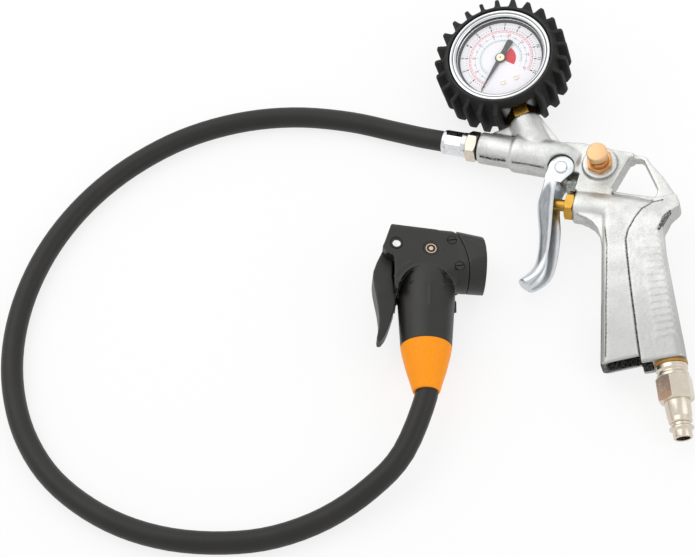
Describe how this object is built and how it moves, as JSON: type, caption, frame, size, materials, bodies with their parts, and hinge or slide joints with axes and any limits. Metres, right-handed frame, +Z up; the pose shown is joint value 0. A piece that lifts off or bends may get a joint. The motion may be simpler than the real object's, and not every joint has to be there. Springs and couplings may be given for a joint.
{
  "type": "portable tire inflator",
  "caption": "Hand-held tire inflator pistol with pressure gauge in a rubber boot, trigger, deflate button, air plug, hose and lever-locked tire chuck.",
  "frame": {"origin": "on the floor, under the middle of the pistol and chuck's bounding box (the hose isn't counted)", "axes": "+Z up from the floor the tool lies on, +Y away from the viewer (from the inlet plug to the gauge), +X to the right"},
  "size_m": [0.3716, 0.3328, 0.0475],
  "materials": {
    "cast_aluminium": "satin cast",
    "zinc_plate": "bright zinc",
    "brass": "turned",
    "button_brass": "polished",
    "spring_steel": "drawn wire",
    "dark_steel": "blackened",
    "case_steel": "semi-gloss",
    "bezel_chrome": "polished",
    "black_plastic": "satin moulded",
    "lever_plastic": "satin moulded",
    "lens": "clear",
    "dial_white": "printed",
    "pointer_black": "matt",
    "boot_rubber": "moulded",
    "nickel": "nickel plated",
    "washer_fibre": "fibre",
    "ferrule_chrome": "bright",
    "hose_rubber": "smooth",
    "collar_orange": "satin moulded",
    "pin_metal": "turned",
    "badge": "gloss"
  },
  "bodies": {
    "pistol": {"pistol_body": "cast_aluminium", "trigger_pin": "zinc_plate", "gland_nut": "brass", "valve_spring": "spring_steel", "passage_plug": "dark_steel", "button_seat": "brass", "button_spring": "spring_steel", "gauge_connector": "brass", "gauge_case": "case_steel", "gauge_bezel": "bezel_chrome", "gauge_rim": "black_plastic", "gauge_lens": "lens", "gauge_dial": "dial_white", "dial_screws": "spring_steel", "bourdon_tube": "brass", "gauge_movement": "brass", "rubber_boot": "boot_rubber", "inlet_washer": "washer_fibre", "inlet_plug": "nickel", "hose_seal": "boot_rubber", "hose_nut": "nickel", "hose_ferrule": "ferrule_chrome", "hose_tail": "brass", "air_hose": "hose_rubber", "chuck_collar": "collar_orange", "chuck_tail": "brass", "chuck_body": "black_plastic", "nose_cap": "black_plastic", "nose_grommet": "boot_rubber", "lever_pin": "pin_metal", "pin_rings": "black_plastic", "nose_screws": "black_plastic", "badge_disc": "badge"},
    "trigger": {"trigger_lever": "zinc_plate"},
    "valve": {"valve_plunger": "brass", "valve_seal": "boot_rubber"},
    "button": {"deflate_button": "button_brass"},
    "pointer": {"gauge_pointer": "pointer_black"},
    "lever": {"chuck_lever": "lever_plastic"},
    "clamp": {"chuck_plunger": "dark_steel"}
  },
  "joints": [
    {"name": "trigger_hinge", "type": "hinge", "parent": "pistol", "child": "trigger", "pos_m": [0.02076, 0.02407, 0.02028], "axis": [-0.1895, -0.1303, 0.9732], "range_deg": [0, 11], "stiffness_Nm_per_rad": 1.6, "springref_deg": -8.59},
    {"name": "valve_slide", "type": "slide", "parent": "pistol", "child": "valve", "axis": [0.9589, -0.2376, 0.1549], "range_m": [0, 0.0037], "deforming": ["valve_spring"]},
    {"name": "button_slide", "type": "slide", "parent": "pistol", "child": "button", "axis": [0.1895, 0.1303, -0.9732], "range_m": [0, 0.0024], "stiffness_N_per_m": 600, "springref_m": -0.002, "deforming": ["button_spring"]},
    {"name": "pointer_hinge", "type": "hinge", "parent": "pistol", "child": "pointer", "pos_m": [-0.01327, 0.09458, 0.03358], "axis": [-0.1895, -0.1303, 0.9732], "range_deg": [-270, 0], "stiffness_Nm_per_rad": 0.00002, "springref_deg": 5.73},
    {"name": "lever_hinge", "type": "hinge", "parent": "pistol", "child": "lever", "pos_m": [-0.07212, -0.03027, 0.02108], "axis": [0.1097, 0.0017, 0.994], "range_deg": [-90, 0]},
    {"name": "clamp_slide", "type": "slide", "parent": "pistol", "child": "clamp", "axis": [0.9938, 0.0156, -0.1097], "range_m": [0, 0.0015]}
  ],
  "couplings": [
    {"joint": "valve_slide", "follows": "trigger_hinge", "m_per_rad": 0.019192},
    {"joint": "clamp_slide", "follows": "lever_hinge", "m_per_rad": -0.0009549}
  ]
}
